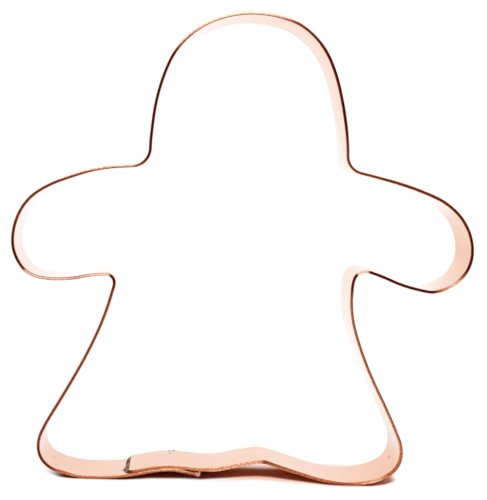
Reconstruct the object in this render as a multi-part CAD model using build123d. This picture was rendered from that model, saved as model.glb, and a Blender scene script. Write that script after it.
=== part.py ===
from build123d import *
from math import cos, degrees, inf, radians, sin, sqrt
import os

# A cookie cutter in the shape of a girl in a long skirt, standing on the hem of the skirt.
# X runs from hand to hand, Y through the cutter from front edge to back edge, Z is up.
# One copper strip is bent round the outline, its ends lap at the hem and are soldered.

# The strip, millimetres
strip_depth = 22.2  # a strip sheared 7/8 in wide
sheet_thickness = 0.69  # 0.027 in copper sheet
edge_bevel = 0.14  # rubbed-down long edges
end_corner_round = 0.7  # snipped corners of the two cut ends

# The outside of the figure, stacked from the table up
skirt_height = 47.0  # table to the line of the underarms
arm_height = 25.0  # underarms to shoulders
head_height = 36.0  # shoulders to crown
arm_span = 106.1
head_width = 45.9
waist_width = 55.2
skirt_width = 84.0
hem_arch = 4.65  # lift of the middle scallop off the table

# The head, waist and skirt are each a little off the middle of the arms
head_lean = 0.5
waist_lean = -2.05
skirt_lean = -3.76

# Bends made round a former
neck_round = 4.0
underarm_round = 2.5

# The lap joint
solder_gap = 0.05  # film between the two layers
film_inset = 0.25  # film stops short of the two long edges
bead_reach = 1.9  # longest reach of the fillet of solder along the outer layer
bead_inset = 0.3
drop_radius = 0.42  # two spatters of solder near the back edge
drop_inset = 0.55

half_sheet = sheet_thickness / 2
lap_pitch = sheet_thickness + solder_gap
head_half = head_width / 2 - half_sheet
arm_half = arm_span / 2 - half_sheet
waist_half = waist_width / 2 - half_sheet
skirt_half = skirt_width / 2 - half_sheet
underarm_line = skirt_height
shoulder_line = underarm_line + arm_height
crown_line = shoulder_line + head_height - half_sheet

# What each stretch of the outline follows: its own zero in X and Z, then its own reach in X and Z
follows = {
    "hem": (skirt_lean, half_sheet, skirt_half, hem_arch),
    "skirt": (skirt_lean, 0, skirt_half, skirt_height),
    "waist": (waist_lean, 0, waist_half, skirt_height),
    "left underarm": (waist_lean - waist_half, underarm_line, underarm_round, underarm_round),
    "right underarm": (waist_lean + waist_half, underarm_line, underarm_round, underarm_round),
    "arms": (0, underarm_line, arm_half, arm_height),
    "left neck": (head_lean - head_half, shoulder_line, neck_round, neck_round),
    "right neck": (head_lean + head_half, shoulder_line, neck_round, neck_round),
    "head": (head_lean, shoulder_line, head_half, crown_line - shoulder_line),
}

# The middle of the strip, clockwise seen from the front, from the outer cut end at the hem.
# Each row: name, what it follows, shares of that reach in X and Z, heading in degrees from +X.
outline_shares = [
    ("outer end", "hem", -0.105, 0.255, 171),
    ("outer film end", "hem", -0.2145, 0.410, 170),
    ("outer crest", "hem", -0.294, 0.453, 184),
    ("lap end", "hem", -0.4955, 0.154, 190),
    ("left lobe", "hem", -0.659, 0, 180),
    ("left lobe rise", "hem", -0.822, 0.126, 161),
    ("left hem corner", "hem", -0.956, 0.635, 138),
    ("left hem side", "skirt", -1, 0.157, 91),
    ("left skirt low", "skirt", -0.947, 0.2915, 60),
    ("left skirt", "skirt", -0.786, 0.548, 62.5),
    ("left waist", "waist", -1.02, 0.906, 76),
    ("left waist bend", "left underarm", 0, -0.72, 92),
    ("left arm root", "left underarm", -0.8, 0.04, 180),
    ("left forearm", "arms", -0.810, -0.060, 184),
    ("left hand heel", "arms", -0.928, -0.008, 142),
    ("left hand", "arms", -1, 0.292, 90),
    ("left hand top", "arms", -0.899, 0.736, 36),
    ("left shoulder", "arms", -0.708, 0.910, 17),
    ("left neck foot", "left neck", -1.0, -0.03, 8),
    ("left neck bend", "left neck", 0.02, 1.03, 87),
    ("left cheek", "head", -0.9115, 0.527, 75),
    ("left temple", "head", -0.7035, 0.801, 49),
    ("crown", "head", 0.022, 1, 0),
    ("right temple", "head", 0.639, 0.855, -45),
    ("right cheek", "head", 0.8915, 0.544, -75),
    ("right neck bend", "right neck", 0, 0.95, -88),
    ("right neck foot", "right neck", 0.8, 0, -13),
    ("right shoulder", "arms", 0.723, 0.886, -17),
    ("right hand top", "arms", 0.9145, 0.692, -41),
    ("right hand", "arms", 1, 0.304, -90),
    ("right hand heel", "arms", 0.888, -0.036, -157),
    ("right forearm", "arms", 0.734, -0.032, 166),
    ("right arm root", "right underarm", 1.64, 0.97, 164),
    ("right waist bend", "right underarm", 0.2, 0.36, -113),
    ("right waist", "waist", 1, 0.9255, -90),
    ("right skirt", "skirt", 0.7995, 0.582, -66),
    ("right skirt low", "skirt", 0.947, 0.317, -65),
    ("right hem side", "skirt", 1, 0.162, -92),
    ("right lobe rise", "hem", 0.9185, 0.377, -148),
    ("right lobe", "hem", 0.738, 0, 180),
    ("right hem", "hem", 0.498, 0.313, 164),
    ("arch rise", "hem", 0.297, 0.851, 163),
    ("arch", "hem", 0.2105, 1, 180),
    ("arch fall", "hem", 0.1095, 0.797, 194),
    ("trough", "hem", -0.068, 0.511, 180),
    ("inner film end", "hem", -0.2145, 0.600, 176.5),
]

# The fillet of solder at the inner cut end, front to back: shares of the strip's depth,
# of the fillet's longest reach and of the height of the cut end
bead_shares = [
    (0.0, 0.25, 0.70),
    (0.12, 0.62, 0.95),
    (0.26, 1.0, 0.85),
    (0.36, 0.66, 0.95),
    (0.52, 0.50, 0.93),
    (0.66, 0.64, 0.96),
    (0.86, 0.56, 0.94),
    (1.0, 0.45, 0.78),
]
bead_hollow_share = 0.09  # how far the fillet's face is drawn in, of its own slope
drop_shares = [(0.84, 1.0), (0.46, 0.72)]  # place from film end to crest, and size
drop_height_share = 0.55
straight_turn = 0.02  # degrees of turn under which a stretch is a straight line


def compass(heading):
    """The unit vector of a heading."""
    return Vector(cos(radians(heading)), sin(radians(heading)))


def inward(heading):
    """The unit vector to the right of a heading, which is towards the middle of the figure."""
    return Vector(sin(radians(heading)), -cos(radians(heading)))


def turn_of(start, heading, end):
    """Degrees that the arc turns which leaves start along heading and passes through end."""
    chord = end - start
    return 2 * compass(heading).get_signed_angle(chord, Vector(0, 0, 1))


def joined_arcs(start, heading, end, end_heading):
    """Two arcs in line with each other that join two places at their headings."""
    away, home, chord = compass(heading), compass(end_heading), end - start
    both = away + home
    spread = 2 * (1 - away.dot(home))
    if spread < 1e-9:
        reach = chord.dot(chord) / (4 * chord.dot(home))
    else:
        reach = (sqrt(chord.dot(both) ** 2 + spread * chord.dot(chord)) - chord.dot(both)) / spread
    joint = (start + end + (away - home) * reach) * 0.5
    joint_heading = heading + turn_of(start, heading, joint)
    return [(start, heading, joint), (joint, joint_heading, end)]


def beside(spans, distance):
    """The same spans moved to the inner side by a distance, which keeps every arc's centre."""
    moved = []
    for start, heading, end in spans:
        end_heading = heading + turn_of(start, heading, end)
        moved.append((start + inward(heading) * distance, heading, end + inward(end_heading) * distance))
    return moved


def span_length(span):
    """The length of an arc, from its chord and its turn."""
    start, heading, end = span
    chord = (end - start).length
    half_turn = radians(abs(turn_of(start, heading, end))) / 2
    return chord if half_turn < radians(straight_turn) else chord * half_turn / sin(half_turn)


def place_along(spans, distance):
    """The place and heading at a distance along spans."""
    for start, heading, end in spans:
        length = span_length((start, heading, end))
        turn = turn_of(start, heading, end)
        if distance <= length:
            turned = turn * distance / length
            if abs(turn) < straight_turn:
                return start + compass(heading) * distance, heading
            radius = length / radians(turn)
            centre = start - inward(heading) * radius
            return centre + inward(heading + turned) * radius, heading + turned
        distance -= length
    return end, heading + turn


def edges_of(spans):
    """One edge for each span."""
    edges = []
    for start, heading, end in spans:
        if abs(turn_of(start, heading, end)) < straight_turn:
            edges.append(Line(start, end))
        else:
            edges.append(TangentArc(start, end, tangent=compass(heading)))
    return edges


def band(near, far, depth):
    """A strip of metal between two lines of spans, pushed through the cutter by a depth."""
    outer, inner = edges_of(near), edges_of(far)
    caps = [Line(near[0][0], far[0][0]), Line(near[-1][2], far[-1][2])]
    face = Face(Wire([*outer, caps[1], *inner[::-1], caps[0]]))
    return extrude(Plane.XZ * face, amount=depth / 2, both=True)


stations, places = {}, []
for name, what, x_share, z_share, heading in outline_shares:
    zero_x, zero_z, reach_x, reach_z = follows[what]
    place = Vector(zero_x + x_share * reach_x, zero_z + z_share * reach_z)
    stations[name] = len(places)
    places.append((place, heading))

crest, crest_heading = places[stations["outer crest"]]
places.append((crest + inward(crest_heading) * lap_pitch, crest_heading))

spans = []
for (start, heading), (end, end_heading) in zip(places, places[1:]):
    spans += joined_arcs(start, heading, end, end_heading)

first = {name: 2 * number for name, number in stations.items()}
lapped = spans[first["outer crest"]:first["lap end"]]
middle = spans + beside(lapped, lap_pitch)


def strip():
    """The copper strip, from its outer cut end round the figure to its inner one."""
    metal = band(beside(middle, -half_sheet), beside(middle, half_sheet), strip_depth)
    flat = metal.faces().filter_by(GeomType.PLANE).filter_by(lambda face: abs(face.normal_at().Y) < 0.5)
    cut = [flat.sort_by_distance(stand(place))[0] for place in (middle[0][0], middle[-1][2])]
    corners = [edge for face in cut for edge in face.edges() if abs(edge.tangent_at(0.5).Y) < 0.5]
    metal = fillet(corners, end_corner_round)
    along = metal.faces().sort_by(Axis.Y)
    return chamfer([*along[0].edges(), *along[-1].edges()], edge_bevel)


def stand(place, depth_place=0):
    """A place of the outline in the room, at a place through the cutter."""
    return Vector(place.X, depth_place, place.Y)


def solder_film():
    """The solder drawn in between the two layers, which opens into a wedge under the outer end."""
    outer_run = spans[first["outer film end"]:first["lap end"]]
    inner_run = spans[first["inner film end"]:] + beside(lapped, lap_pitch)
    return band(beside(outer_run, half_sheet), beside(inner_run, -half_sheet), strip_depth - 2 * film_inset)


def solder_bead():
    """The hollow fillet of solder in the corner of the inner cut end and the outer layer."""
    floor_run = beside(spans[first["lap end"]:], half_sheet)
    corner, heading = floor_run[0][0], floor_run[0][1]
    depth = strip_depth - 2 * bead_inset
    sections = []
    for depth_share, reach_share, height_share in bead_shares:
        top = corner + inward(heading) * (height_share * lap_pitch)
        toe = place_along(floor_run, reach_share * bead_reach)[0]
        hollow = (top + toe) * 0.5 + (corner - (top + toe) * 0.5) * (2 * bead_hollow_share)
        floor = TangentArc(corner, toe, tangent=compass(heading))
        face = Face(Wire([Line(corner, top), ThreePointArc(top, hollow, toe), floor]))
        behind = depth / 2 - depth_share * depth
        sections.append(Plane.XZ.offset(behind) * face)
    return loft(sections)


def solder_drop(place_share, size_share):
    """One spatter of solder on the inner face close to the back edge."""
    run = beside(spans[first["inner film end"]:], half_sheet)
    length = sum(span_length(span) for span in run)
    foot, heading = place_along(run, place_share * length)
    radius = drop_radius * size_share
    height = radius * drop_height_share
    ball = (radius ** 2 + height ** 2) / (2 * height)
    up = inward(heading)
    seat = Plane(origin=stand(foot, strip_depth / 2 - drop_inset), x_dir=(0, 1, 0), z_dir=(up.X, 0, up.Y))
    cap = Sphere(ball) - Pos(0, 0, -height) * Box(4 * ball, 4 * ball, 2 * ball)
    return seat * Pos(0, 0, height - ball) * cap


pieces = {
    "strip": strip(),
    "solder_film": solder_film(),
    "solder_bead": solder_bead(),
}
for number, (place_share, size_share) in enumerate(drop_shares, 1):
    pieces[f"solder_drop_{number}"] = solder_drop(place_share, size_share)

os.makedirs("parts", exist_ok=True)
for node, piece in pieces.items():
    export_step(piece, f"parts/{node}.step")

tightest = inf
for span in middle:
    turned = radians(abs(turn_of(*span)))
    tightest = min(tightest, span_length(span) / turned if turned > radians(straight_turn) else inf)
whole = sum(span_length(span) for span in middle)
print("strip length", round(whole, 1), "tightest bend", round(tightest, 2))
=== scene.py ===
import bmesh
import bpy
import numpy as np
from mathutils import Matrix


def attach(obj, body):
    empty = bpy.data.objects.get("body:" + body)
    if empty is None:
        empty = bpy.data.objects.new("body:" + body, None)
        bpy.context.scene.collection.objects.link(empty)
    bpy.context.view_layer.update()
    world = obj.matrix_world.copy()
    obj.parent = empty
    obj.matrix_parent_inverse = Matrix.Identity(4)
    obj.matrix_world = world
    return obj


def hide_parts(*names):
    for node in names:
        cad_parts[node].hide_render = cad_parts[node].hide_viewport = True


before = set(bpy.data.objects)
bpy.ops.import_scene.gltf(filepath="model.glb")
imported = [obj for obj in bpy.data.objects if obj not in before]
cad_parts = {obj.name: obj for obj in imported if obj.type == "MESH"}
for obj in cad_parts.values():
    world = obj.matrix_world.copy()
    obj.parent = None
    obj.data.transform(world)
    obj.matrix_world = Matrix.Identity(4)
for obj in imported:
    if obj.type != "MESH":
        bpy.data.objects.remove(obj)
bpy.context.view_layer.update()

# A copper cookie cutter stands on the hem of its skirt on a white table.
# Sizes are written in millimetres, and everything is made in metres.
mm = 0.001


# Colours, nodes and tables

def linear(hexCode):
    # an sRGB hex colour as linear red, green, blue and alpha
    shown = np.array([int(hexCode[i:i + 2], 16) for i in (1, 3, 5)]) / 255
    line = np.where(shown <= 0.04045, shown / 12.92, ((shown + 0.055) / 1.055) ** 2.4)
    return (*line.tolist(), 1.0)


def addNode(tree, kind, inputs=None, **settings):
    # adds a node and sets its properties; each input is linked to the socket given, or to the given node's
    # first output, or set to the value given, where a hex colour is made linear
    made = tree.nodes.new("ShaderNode" + kind)
    for name, value in settings.items():
        setattr(made, name, value)
    for name, value in (inputs or {}).items():
        if isinstance(value, bpy.types.Node):
            value = value.outputs[0]
        if isinstance(value, bpy.types.NodeSocket):
            tree.links.new(value, made.inputs[name])
        else:
            made.inputs[name].default_value = linear(value) if isinstance(value, str) else value
    return made


def newMaterial(name):
    material = bpy.data.materials.new(name)
    material.use_nodes = True
    material.node_tree.nodes.clear()
    return material, material.node_tree


eased = {"interpolation_type": "SMOOTHSTEP"}  # setting of a step that is eased at both ends


def readTable(rows, places):
    # the columns of a table whose first column is a place, read between its rows at the places given
    rows = np.array(rows, float)
    return [np.interp(places, rows[:, 0], column) for column in rows[:, 1:].T]


# The outline of the figure

figure = {
    "skirtHeight": 47.0, "armHeight": 25.0, "headHeight": 36.0,
    "armSpan": 106.1, "headWidth": 45.9, "waistWidth": 55.2, "skirtWidth": 84.0, "hemArch": 4.65,
    "headLean": 0.5, "waistLean": -2.05, "skirtLean": -3.76,
    "neckRound": 4.0, "underarmRound": 2.5,
    "sheet": 0.69, "depth": 22.2, "solderGap": 0.05,
    # what each stretch follows, shares of that reach in X and Z, heading in degrees from +X
    "outlineShares": [
        ("hem", -0.105, 0.255, 171), ("hem", -0.2145, 0.410, 170), ("hem", -0.294, 0.453, 184),
        ("hem", -0.4955, 0.154, 190), ("hem", -0.659, 0, 180), ("hem", -0.822, 0.126, 161),
        ("hem", -0.956, 0.635, 138), ("skirt", -1, 0.157, 91), ("skirt", -0.947, 0.2915, 60),
        ("skirt", -0.786, 0.548, 62.5), ("waist", -1.02, 0.906, 76), ("leftUnderarm", 0, -0.72, 92),
        ("leftUnderarm", -0.8, 0.04, 180), ("arms", -0.810, -0.060, 184), ("arms", -0.928, -0.008, 142),
        ("arms", -1, 0.292, 90), ("arms", -0.899, 0.736, 36), ("arms", -0.708, 0.910, 17),
        ("leftNeck", -1.0, -0.03, 8), ("leftNeck", 0.02, 1.03, 87), ("head", -0.9115, 0.527, 75),
        ("head", -0.7035, 0.801, 49), ("head", 0.022, 1, 0), ("head", 0.639, 0.855, -45),
        ("head", 0.8915, 0.544, -75), ("rightNeck", 0, 0.95, -88), ("rightNeck", 0.8, 0, -13),
        ("arms", 0.723, 0.886, -17), ("arms", 0.9145, 0.692, -41), ("arms", 1, 0.304, -90),
        ("arms", 0.888, -0.036, -157), ("arms", 0.734, -0.032, 166), ("rightUnderarm", 1.64, 0.97, 164),
        ("rightUnderarm", 0.2, 0.36, -113), ("waist", 1, 0.9255, -90), ("skirt", 0.7995, 0.582, -66),
        ("skirt", 0.947, 0.317, -65), ("skirt", 1, 0.162, -92), ("hem", 0.9185, 0.377, -148),
        ("hem", 0.738, 0, 180), ("hem", 0.498, 0.313, 164), ("hem", 0.297, 0.851, 163),
        ("hem", 0.2105, 1, 180), ("hem", 0.1095, 0.797, 194), ("hem", -0.068, 0.511, 180),
        ("hem", -0.2145, 0.600, 176.5),
    ],
    "crestRow": 2, "lapEndRow": 3,
}


def headingVector(angle):
    return np.stack([np.cos(angle), np.sin(angle)], -1)


def inwardVector(angle):
    # a quarter turn to the right of the heading, towards the middle of the figure
    return np.stack([np.sin(angle), -np.cos(angle)], -1)


def turnOf(start, angle, end):
    # twice the angle from the heading to the chord
    ahead, chord = headingVector(angle), end - start
    return 2 * np.arctan2(ahead[:, 0] * chord[:, 1] - ahead[:, 1] * chord[:, 0], (ahead * chord).sum(-1))


def joinedArcs(place, angle):
    # each pair of places is joined by two arcs whose tangents meet halfway along equal arms
    start, end, a, b = place[:-1], place[1:], headingVector(angle[:-1]), headingVector(angle[1:])
    chord, both = end - start, a + b
    spread = 2 * (1 - (a * b).sum(-1))
    chordBoth, chordSquare = (chord * both).sum(-1), (chord ** 2).sum(-1)
    straight = spread < 1e-9
    safe = np.where(straight, 1, spread)
    curvedReach = (np.sqrt(chordBoth ** 2 + spread * chordSquare) - chordBoth) / safe
    reach = np.where(straight, chordSquare / (4 * (chord * b).sum(-1)), curvedReach)
    joint = (start + end + (a - b) * reach[:, None]) / 2
    jointAngle = angle[:-1] + turnOf(start, angle[:-1], joint)
    starts = np.stack([start, joint], 1).reshape(-1, 2)
    ends = np.stack([joint, end], 1).reshape(-1, 2)
    angles = np.stack([angle[:-1], jointAngle], 1).reshape(-1)
    return starts, angles, ends


def outlinePath():
    # the middle of the strip as arcs: round the figure, then the inner layer of the lap beside the outer one
    half = figure["sheet"] / 2
    headHalf, armHalf = figure["headWidth"] / 2 - half, figure["armSpan"] / 2 - half
    waistHalf, skirtHalf = figure["waistWidth"] / 2 - half, figure["skirtWidth"] / 2 - half
    underarm = figure["skirtHeight"]
    shoulder = underarm + figure["armHeight"]
    headLean, waistLean, skirtLean = figure["headLean"], figure["waistLean"], figure["skirtLean"]
    neckRound, underarmRound = figure["neckRound"], figure["underarmRound"]
    # for each stretch, where it counts from in X and Z, and its reach in each
    follows = {
        "hem": (skirtLean, half, skirtHalf, figure["hemArch"]),
        "skirt": (skirtLean, 0, skirtHalf, underarm),
        "waist": (waistLean, 0, waistHalf, underarm),
        "leftUnderarm": (waistLean - waistHalf, underarm, underarmRound, underarmRound),
        "rightUnderarm": (waistLean + waistHalf, underarm, underarmRound, underarmRound),
        "arms": (0, underarm, armHalf, figure["armHeight"]),
        "leftNeck": (headLean - headHalf, shoulder, neckRound, neckRound),
        "rightNeck": (headLean + headHalf, shoulder, neckRound, neckRound),
        "head": (headLean, shoulder, headHalf, figure["headHeight"] - half),
    }
    rows = figure["outlineShares"]
    zero = np.array([follows[row[0]] for row in rows])
    place = zero[:, :2] + np.array([row[1:3] for row in rows]) * zero[:, 2:]
    angle = np.radians([row[3] for row in rows])
    crest, lapEnd = figure["crestRow"], figure["lapEndRow"]
    pitch = figure["sheet"] + figure["solderGap"]
    place = np.vstack([place, place[crest] + inwardVector(angle[crest]) * pitch])
    angle = np.append(angle, angle[crest])
    starts, angles, ends = joinedArcs(place, angle)
    lap = slice(2 * crest, 2 * lapEnd)
    endAngle = angles[lap] + turnOf(starts[lap], angles[lap], ends[lap])
    starts = np.vstack([starts, starts[lap] + inwardVector(angles[lap]) * pitch])
    ends = np.vstack([ends, ends[lap] + inwardVector(endAngle) * pitch])
    angles = np.append(angles, angles[lap])
    turns = turnOf(starts, angles, ends)
    chord = np.hypot(*(ends - starts).T)
    lengths = chord / np.sinc(turns / 2 / np.pi)
    return {"starts": starts, "angles": angles, "turns": turns, "lengths": lengths,
            "ends": np.cumsum(lengths), "whole": lengths.sum()}


path = outlinePath()
print("outline length", round(path["whole"], 2), "mm")


def alongPath(distance):
    # place, heading and bend at distances along the arcs: the chord to a point leaves at half the angle turned
    distance = np.asarray(distance, float)
    arc = np.clip(np.searchsorted(path["ends"], distance), 0, len(path["lengths"]) - 1)
    local = distance - (path["ends"] - path["lengths"])[arc]
    bend = (path["turns"] / path["lengths"])[arc]
    turned = bend * local
    chord = local * np.sinc(turned / 2 / np.pi)
    angle = path["angles"][arc]
    place = path["starts"][arc] + headingVector(angle + turned / 2) * chord[..., None]
    return place, angle + turned, bend


# Meshes and pieces

def gridMesh(name, grid, closeAcross=False, attributes=None, uv=None):
    # a mesh from a grid of points (rows along, columns across), all its quads wound the same way
    rows, columns = grid.shape[:2]
    mesh = bpy.data.meshes.new(name)
    index = np.arange(rows * columns).reshape(rows, columns)
    beside = np.roll(index, -1, 1) if closeAcross else index[:, 1:]
    here = index if closeAcross else index[:, :-1]
    quads = np.stack([here[:-1], beside[:-1], beside[1:], here[1:]], -1).reshape(-1, 4)
    mesh.from_pydata((grid.reshape(-1, 3) * mm).tolist(), [], quads.tolist())
    for key, values in (attributes or {}).items():
        layer = mesh.attributes.new(key, "FLOAT", "POINT")
        layer.data.foreach_set("value", values.astype(np.float32).ravel())
    if uv is not None:
        corners = np.stack([uv[:-1, :-1], uv[:-1, 1:], uv[1:, 1:], uv[1:, :-1]], 2).reshape(-1, 2)
        mesh.uv_layers.new(name="sheetMap").data.foreach_set("uv", corners.astype(np.float32).ravel())
    mesh.shade_smooth()
    return mesh


def tidyMesh(mesh, distance):
    # merges the points that meet at seams and ends
    work = bmesh.new()
    work.from_mesh(mesh)
    bmesh.ops.remove_doubles(work, verts=work.verts, dist=distance * mm)
    bmesh.ops.dissolve_degenerate(work, edges=work.edges, dist=distance * mm)
    bmesh.ops.recalc_face_normals(work, faces=work.faces)
    work.to_mesh(mesh)
    work.free()
    mesh.update()


def addObject(name, data):
    made = bpy.data.objects.new(name, data)
    bpy.context.scene.collection.objects.link(made)
    return made


def addPiece(name, mesh, material, slot, *nodes):
    piece = addObject(name, mesh)
    mesh.materials.append(material)
    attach(piece, "root")
    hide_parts(*nodes)


# The copper: C110 sheet, mill-rolled bright, sheared into strip and bent by hand.
# Rolling leaves fine lines along the strip, handling leaves a thin uneven tarnish.

copper = {
    "bright": "#F7C19F", "burnishedSheen": "#FAD2B8", "tarnishAndShade": "#E9A068", "heated": "#B0705A",
    "waxRoughness": 0.04, "waxIor": 1.5,  # clear wax on the burnished stretches whitens a view along the face
    "pinkCloud": "#FFF1EE", "yellowCloud": "#FDFAEC", "cloudEdge": (0.39, 0.61),
    # the sheared edge from as it is left, in two tones, to rubbed bright; the bright end also serves as a
    # painted highlight where the edge catches light, and the dark oxide as painted shade where it lies in
    # shade
    "oxideDark": "#521003", "oxide": "#8C2607", "wornAndLit": "#DE8459", "rubbed": "#F9D0B0",
    # each pattern: mm along the strip and through the cutter, detail and roughness; rolling lines and shear
    # marks are finer on real sheet, and are drawn as coarse as they need to show
    "patterns": {
        "lines": (40.0, 0.35, 3.0, 0.6), "patches": (22.0, 11.0, 4.0, 0.55), "clouds": (5.0, 9.0, 2.0, 0.5),
        "flecks": (0.45, 0.35, 3.0, 0.5), "shears": (0.12, 0.6, 2.0, 0.5),
    },
    "patchSway": 0.2, "fleckRub": (0.6, 1.4),  # how far patches shift the tone and flecks scale the rubbing
    "lineDepth": 0.0024,  # mm
    "roughness": (0.08, 0.16), "burnishedRoughness": 0.05, "shearedRoughness": 0.28,
}


def copperMaterial():
    material, tree = newMaterial("millRolledCopper")
    sheetMap = addNode(tree, "UVMap", uv_map="sheetMap")
    noise = {}
    for name, (length, width, detail, grain) in copper["patterns"].items():
        sized = addNode(tree, "Mapping", {
            "Vector": sheetMap, "Scale": (1 / (length * mm), 1 / (width * mm), 1)})
        noise[name] = addNode(tree, "TexNoise", {
            "Vector": sized, "Scale": 1.0, "Detail": detail, "Roughness": grain})
    cutEdge, heat, wornAndLit, faceToneAndSheen = (addNode(tree, "Attribute", attribute_name=name).outputs["Fac"]
                                     for name in ("cutEdge", "heat", "wornAndLit", "faceToneAndSheen"))
    # the rolled face: burnished by a tone below 0, tarnished by one above it, and shifted in patches; the tone
    # is also painted reflection, paler where the face reflects more light and deeper where it reflects less
    sway = copper["patchSway"]
    patchShift = addNode(tree, "MapRange", {
        "Value": noise["patches"], "From Min": 0.3, "From Max": 0.7, "To Min": -sway, "To Max": sway})
    tone = addNode(tree, "Math", {0: faceToneAndSheen, 1: patchShift}, operation="ADD")
    polishAndSheen = addNode(tree, "MapRange", {"Value": tone, "From Max": -1.0})
    tarnishAndShade = addNode(tree, "MapRange", {"Value": tone})
    polishedSheen = addNode(tree, "MixRGB", {
        "Fac": polishAndSheen, "Color1": copper["bright"], "Color2": copper["burnishedSheen"]})
    broad = addNode(tree, "MixRGB", {"Fac": tarnishAndShade, "Color1": polishedSheen, "Color2": copper["tarnishAndShade"]})
    # pink and yellow clouds a few millimetres wide, from handling and from the rolls
    low, high = copper["cloudEdge"]
    cloud = addNode(tree, "MapRange", {"Value": noise["clouds"], "From Min": low, "From Max": high})
    tint = addNode(tree, "MixRGB", {
        "Fac": cloud, "Color1": copper["pinkCloud"], "Color2": copper["yellowCloud"]})
    clouded = addNode(tree, "MixRGB", {"Fac": 1.0, "Color1": broad, "Color2": tint}, blend_type="MULTIPLY")
    faceColour = addNode(tree, "MixRGB", {"Fac": heat, "Color1": clouded, "Color2": copper["heated"]})
    # each mark fades by the length of the way out, counted in its own reach; the middle of the inner face
    # lies three half depths, two round corners and the flat of one edge round the section
    r, halfDepth = strip["edgeRound"], figure["depth"] / 2
    innerMiddle = 3 * (halfDepth - r) + np.pi * r + figure["sheet"] - 2 * r
    for along, through, reachAlong, reachThrough, shade, share in strip["marks"]:
        middle, reach = np.array([along, innerMiddle - through]), np.array([reachAlong, reachThrough])
        centred = addNode(tree, "Mapping", {
            "Vector": sheetMap, "Scale": (*(1 / (reach * mm)), 1), "Location": (*(-middle / reach), 0)})
        out = addNode(tree, "VectorMath", {0: centred}, operation="LENGTH").outputs["Value"]
        fade = addNode(tree, "MapRange", {
            "Value": out, "From Min": 1.0, "From Max": strip["markCore"], "To Max": share})
        faceColour = addNode(tree, "MixRGB", {"Fac": fade, "Color1": faceColour, "Color2": shade})
    # the cut edge: two tones of oxide, orange where it is half rubbed, and bright where it is fully rubbed;
    # the same ramp paints highlight where the edge catches light and shade where it does not
    dull, strong = copper["fleckRub"]
    uneven = addNode(tree, "MapRange", {
        "Value": noise["flecks"], "From Min": 0.35, "From Max": 0.65, "To Min": dull, "To Max": strong})
    wornAndLitPart = addNode(tree, "Math", {0: wornAndLit, 1: uneven}, operation="MULTIPLY", use_clamp=True)
    lowHalf = addNode(tree, "MapRange", {"Value": wornAndLitPart, "From Max": 0.5})
    highHalf = addNode(tree, "MapRange", {"Value": wornAndLitPart, "From Min": 0.5})
    oxideShare = addNode(tree, "MapRange", {"Value": noise["flecks"], "From Min": 0.4, "From Max": 0.6})
    oxide = addNode(tree, "MixRGB", {
        "Fac": oxideShare, "Color1": copper["oxideDark"], "Color2": copper["oxide"]})
    orange = addNode(tree, "MixRGB", {"Fac": lowHalf, "Color1": oxide, "Color2": copper["wornAndLit"]})
    edgeColour = addNode(tree, "MixRGB", {"Fac": highHalf, "Color1": orange, "Color2": copper["rubbed"]})
    colour = addNode(tree, "MixRGB", {"Fac": cutEdge, "Color1": faceColour, "Color2": edgeColour})
    low, high = copper["roughness"]
    rough = addNode(tree, "MapRange", {
        "Value": noise["lines"], "From Min": 0.3, "From Max": 0.7, "To Min": low, "To Max": high})
    roughFace = addNode(tree, "Mix", {"Factor": polishAndSheen, "A": rough, "B": copper["burnishedRoughness"]})
    roughBoth = addNode(tree, "Mix", {"Factor": cutEdge, "A": roughFace, "B": copper["shearedRoughness"]})
    height = addNode(tree, "Mix", {"Factor": cutEdge, "A": noise["lines"], "B": noise["shears"]})
    bump = addNode(tree, "Bump", {
        "Height": height, "Strength": 0.5, "Distance": copper["lineDepth"] * mm})
    face = addNode(tree, "Math", {0: 1.0, 1: cutEdge}, operation="SUBTRACT")
    wax = addNode(tree, "Math", {0: polishAndSheen, 1: face}, operation="MULTIPLY")
    shader = addNode(tree, "BsdfPrincipled", {
        "Base Color": colour, "Roughness": roughBoth, "Metallic": 1.0, "Normal": bump, "Coat Weight": wax,
        "Coat Roughness": copper["waxRoughness"], "Coat IOR": copper["waxIor"]})
    addNode(tree, "OutputMaterial", {"Surface": shader})
    return material


# The strip: a rounded bar carried along the outline

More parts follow.
